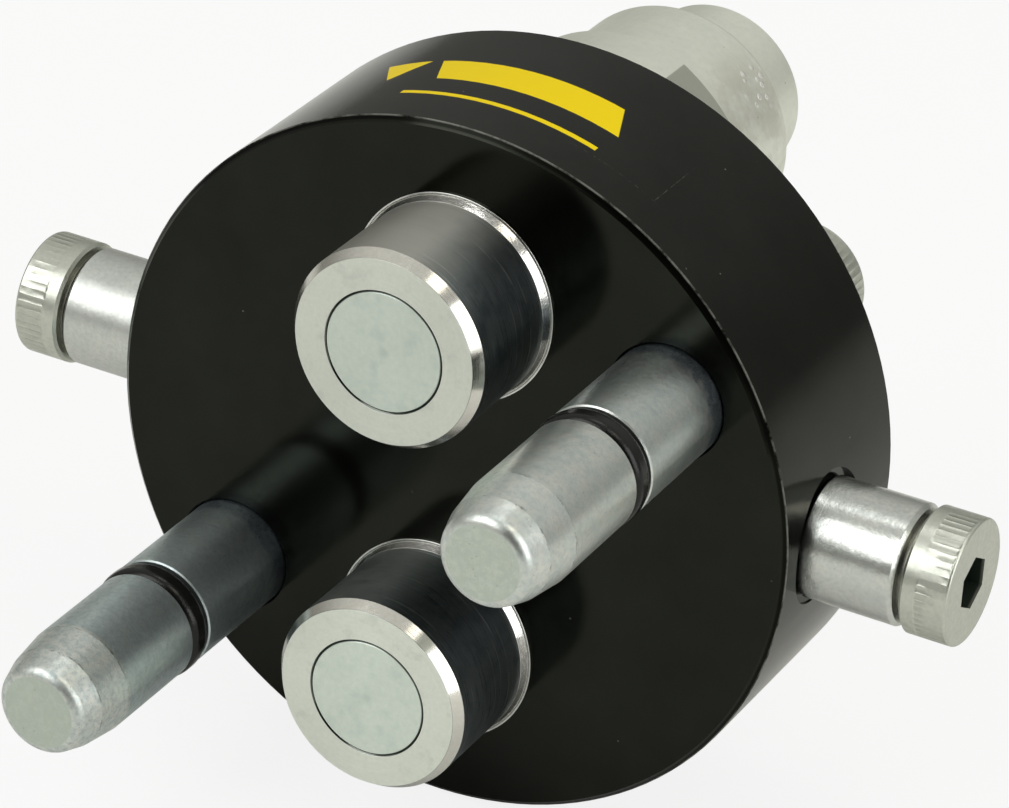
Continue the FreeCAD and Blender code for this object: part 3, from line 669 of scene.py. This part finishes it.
def spring_steel():
    """Drawn wire with long faint die marks."""
    look = Look("spring_steel")
    marks = look.noise(3.5, 4, 0.7)
    look.set(
        Base_Color=look.blend(marks, (0.30, 0.30, 0.29), (0.48, 0.47, 0.44)),
        Metallic=1.0,
        Roughness=look.scale_to(marks, 0.25, 0.42),
        Normal=look.bump(marks, 0.01, 0.5),
    )
    return look.material


def guide_brass():
    """Turned brass with light tarnish."""
    look = Look("guide_brass")
    tarnish = look.noise(0.9, 5, 0.65)
    look.set(
        Base_Color=look.blend(tarnish, (0.62, 0.44, 0.19), (0.80, 0.62, 0.31)),
        Metallic=1.0,
        Roughness=look.scale_to(tarnish, 0.22, 0.40),
        Normal=look.bump(look.noise(6), 0.006, 0.5),
    )
    return look.material


def dress(material, *nodes):
    """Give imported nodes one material."""
    for node in nodes:
        mesh = NODES[node].data
        mesh.materials.clear()
        mesh.materials.append(material)


def dress_nodes():
    """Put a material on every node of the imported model."""
    dress(anodised_black(), "plate")
    polished = polished_steel()
    rubber = seal_rubber()
    spring = spring_steel()
    brass = guide_brass()
    washer = washer_steel()
    for side in ("upper", "lower"):
        dress(nose_steel(side), f"{side}_coupling_body")
        dress(valve_steel(side), f"{side}_valve_poppet")
        dress(adapter_steel(side), f"{side}_port_adapter")
        dress(polished, f"{side}_mouth_ring")
        dress(brass, f"{side}_poppet_guide")
        dress(spring, f"{side}_valve_spring", f"{side}_snap_ring")
        dress(rubber, f"{side}_poppet_seal", f"{side}_body_seal", f"{side}_adapter_seal")
    for side, centre in PINS_MM.items():
        dress(pin_zinc(side), f"{side}_guide_pin")
        dress(rubber, f"{side}_pin_seal")
        screw = screw_zinc(f"{side}_pin_screw_zinc", "Y", centre, PIN_SCREW_FACE_MM)
        dress(screw, f"{side}_pin_screw", f"{side}_pin_washer")
        dress(roller_zinc(side), f"{side}_side_roller")
        head = screw_zinc(f"{side}_side_screw_zinc", "X", (0, SIDE_Y_MM, 0), SIDE_FACE_MM)
        dress(head, f"{side}_side_screw")
        dress(washer, f"{side}_side_washer", f"{side}_side_bush")


def add_piece(name, form, material):
    """Object at the origin made from a finished bmesh, which is freed."""
    mesh = bpy.data.meshes.new(name)
    form.to_mesh(mesh)
    form.free()
    mesh.materials.append(material)
    piece = bpy.data.objects.new(name, mesh)
    bpy.context.scene.collection.objects.link(piece)
    return piece


def port_thread(side, material):
    """Triangular thread ridge wound round the inside of a hose port, sunk a little in its wall."""
    sunk, mouth = 0.02, 0.9
    root, crest = PORT_RADIUS_MM + sunk, PORT_RADIUS_MM - PORT_THREAD_DEPTH_MM
    half_root, half_crest = PORT_THREAD_PITCH_MM * 0.49, 0.08
    start = PORT_END_MM - mouth - PORT_THREAD_PITCH_MM / 2
    centre = Vector((0, 0, LINES_MM[side])) * MM
    steps_per_turn = 96
    steps = int(PORT_THREAD_LENGTH_MM / PORT_THREAD_PITCH_MM * steps_per_turn)
    form = bmesh.new()
    corners = (root, half_root), (crest, half_crest), (crest, -half_crest), (root, -half_root)
    section = form.faces.new([
        form.verts.new(centre + Vector((0, start + shift, radius)) * MM)
        for radius, shift in corners
    ])
    bmesh.ops.spin(
        form,
        geom=[section, *section.edges, *section.verts],
        cent=centre,
        axis=(0, 1, 0),
        dvec=(0, -PORT_THREAD_PITCH_MM / steps_per_turn * MM, 0),
        angle=math.tau * steps / steps_per_turn,
        steps=steps,
    )
    bmesh.ops.recalc_face_normals(form, faces=form.faces)
    thread = add_piece(f"{side}_port_thread", form, material)
    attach(thread, "plate_assembly")


def valve_spring(side, material):
    """Valve spring rebuilt from the imported coil, welded and smooth-shaded, on the plate assembly
    in place of the imported one.
    """
    node, slide = f"{side}_valve_spring", f"{side}_valve_slide"
    merge_distance = 0.0001 * MM
    sharpest_smooth = math.radians(40)
    form = bmesh.new()
    form.from_mesh(NODES[node].data)
    bmesh.ops.remove_doubles(form, verts=form.verts, dist=merge_distance)
    for face in form.faces:
        face.smooth = True
    spring = add_piece(f"{side}_spring_coil", form, material)
    spring.data.set_sharp_from_angle(angle=sharpest_smooth)
    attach(spring, "plate_assembly")
    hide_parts(node)
    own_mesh(spring)


def floor_white():
    """Pale matt floor that shows almost white to the camera, so that its shadow stays soft."""
    glow_share = 0.85
    material = bpy.data.materials.new("floor_white")
    material.use_nodes = True
    tree = material.node_tree
    tree.nodes.clear()
    matt = tree.nodes.new("ShaderNodeBsdfDiffuse")
    matt.inputs["Color"].default_value = (0.80, 0.80, 0.78, 1)
    glow = tree.nodes.new("ShaderNodeEmission")
    glow.inputs["Strength"].default_value = 1.0
    share = tree.nodes.new("ShaderNodeMath")
    share.operation = "MULTIPLY"
    share.inputs[1].default_value = glow_share
    mix = tree.nodes.new("ShaderNodeMixShader")
    seen = tree.nodes.new("ShaderNodeLightPath").outputs["Is Camera Ray"]
    output = tree.nodes.new("ShaderNodeOutputMaterial")
    tree.links.new(seen, share.inputs[0])
    tree.links.new(share.outputs[0], mix.inputs[0])
    tree.links.new(matt.outputs[0], mix.inputs[1])
    tree.links.new(glow.outputs[0], mix.inputs[2])
    tree.links.new(mix.outputs[0], output.inputs["Surface"])
    return material


def make_floor():
    """Wide floor at the lowest point of the rim."""
    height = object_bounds()[0].z
    half_width = 6.0
    form = bmesh.new()
    bmesh.ops.create_grid(form, x_segments=1, y_segments=1, size=half_width)
    bmesh.ops.translate(form, verts=form.verts, vec=(0, 0, height))
    floor = add_piece("floor", form, floor_white())


def softbox(name, azimuth, elevation, size, radiance, colour=(1.0, 1.0, 1.0)):
    """Lamp panel that faces the origin and shines with a given radiance.

    The azimuth runs from +X towards +Y and the elevation up from the floor, in degrees.
    """
    distance = 0.9
    turn, rise = math.radians(azimuth), math.radians(elevation)
    level = math.cos(rise)
    away = Vector((level * math.cos(turn), level * math.sin(turn), math.sin(rise)))
    lamp = bpy.data.lights.new(name, "AREA")
    lamp.shape = "RECTANGLE"
    lamp.size, lamp.size_y = size
    lamp.color = colour
    lamp.energy = radiance * math.pi * size[0] * size[1]
    light = bpy.data.objects.new(name, lamp)
    light.location = away * distance
    light.rotation_euler = away.to_track_quat("Z", "Y").to_euler()
    bpy.context.scene.collection.objects.link(light)


def make_light():
    """Four soft panels in a grey room."""
    softbox("front_left_panel", -121, 40, (0.60, 0.60), 2.6)
    softbox("right_panel", -11, 21, (0.55, 0.68), 2.6)
    softbox("high_right_panel", -20, 64, (0.40, 0.22), 2.4, (1.0, 0.93, 0.80))
    softbox("overhead_panel", 129, 82, (0.32, 0.22), 2.4)
    make_room()


def make_room():
    """Grey room, darker towards the horizon than overhead and dark behind the camera."""
    behind_camera = (0.398, -0.779, 0.484)
    world = bpy.data.worlds.new("room")
    world.use_nodes = True
    tree = world.node_tree
    direction = tree.nodes.new("ShaderNodeTexCoord").outputs["Generated"]
    split = tree.nodes.new("ShaderNodeSeparateXYZ")
    ramp = tree.nodes.new("ShaderNodeMapRange")
    ramp.interpolation_type = "SMOOTHSTEP"
    ramp.inputs["From Max"].default_value = 0.8
    shade = tree.nodes.new("ShaderNodeMix")
    shade.data_type = "RGBA"
    shade.inputs[6].default_value = (0.25, 0.25, 0.23, 1)
    shade.inputs[7].default_value = (0.62, 0.62, 0.59, 1)
    aim = tree.nodes.new("ShaderNodeVectorMath")
    aim.operation = "DOT_PRODUCT"
    aim.inputs[1].default_value = behind_camera
    gloom = tree.nodes.new("ShaderNodeMapRange")
    gloom.interpolation_type = "SMOOTHSTEP"
    gloom.inputs["From Min"].default_value = 0.78
    gloom.inputs["From Max"].default_value = 0.93
    gloom.inputs["To Min"].default_value = 1.0
    gloom.inputs["To Max"].default_value = 0.08
    tree.links.new(direction, split.inputs[0])
    tree.links.new(direction, aim.inputs[0])
    tree.links.new(aim.outputs["Value"], gloom.inputs["Value"])
    tree.links.new(split.outputs["Z"], ramp.inputs["Value"])
    tree.links.new(ramp.outputs[0], shade.inputs[0])
    background = tree.nodes["Background"]
    tree.links.new(shade.outputs[2], background.inputs["Color"])
    tree.links.new(gloom.outputs[0], background.inputs["Strength"])
    bpy.context.scene.world = world


def make_camera():
    """Camera at the photograph's place, turned a little about its own line of sight."""
    azimuth, elevation, roll = (math.radians(value) for value in (27.075, 28.914, 3.524))
    distance = 486.2 * MM
    focal_pixels = 4986.9
    image_width = 1009
    target = Vector((6.26, 0, 9.50)) * MM
    back = Vector((
        math.cos(elevation) * math.sin(azimuth),
        -math.cos(elevation) * math.cos(azimuth),
        math.sin(elevation),
    ))
    camera = bpy.data.cameras.new("camera")
    camera.sensor_width = 36
    camera.lens = focal_pixels / image_width * camera.sensor_width
    camera.clip_start = 0.01
    view = bpy.data.objects.new("camera", camera)
    view.location = target + back * distance
    turn = back.to_track_quat("Z", "Y").to_matrix().to_4x4()
    spin = turn.Rotation(roll, 4, "Z")
    view.rotation_euler = (turn @ spin).to_euler()
    bpy.context.scene.collection.objects.link(view)
    bpy.context.scene.camera = view


dress_nodes()
for line_side in ("upper", "lower"):
    port_thread(line_side, NODES[f"{line_side}_port_adapter"].data.materials[0])
    valve_spring(line_side, NODES[f"{line_side}_valve_spring"].data.materials[0])
make_floor()
make_light()
make_camera()
bpy.context.scene.view_settings.view_transform = "Standard"
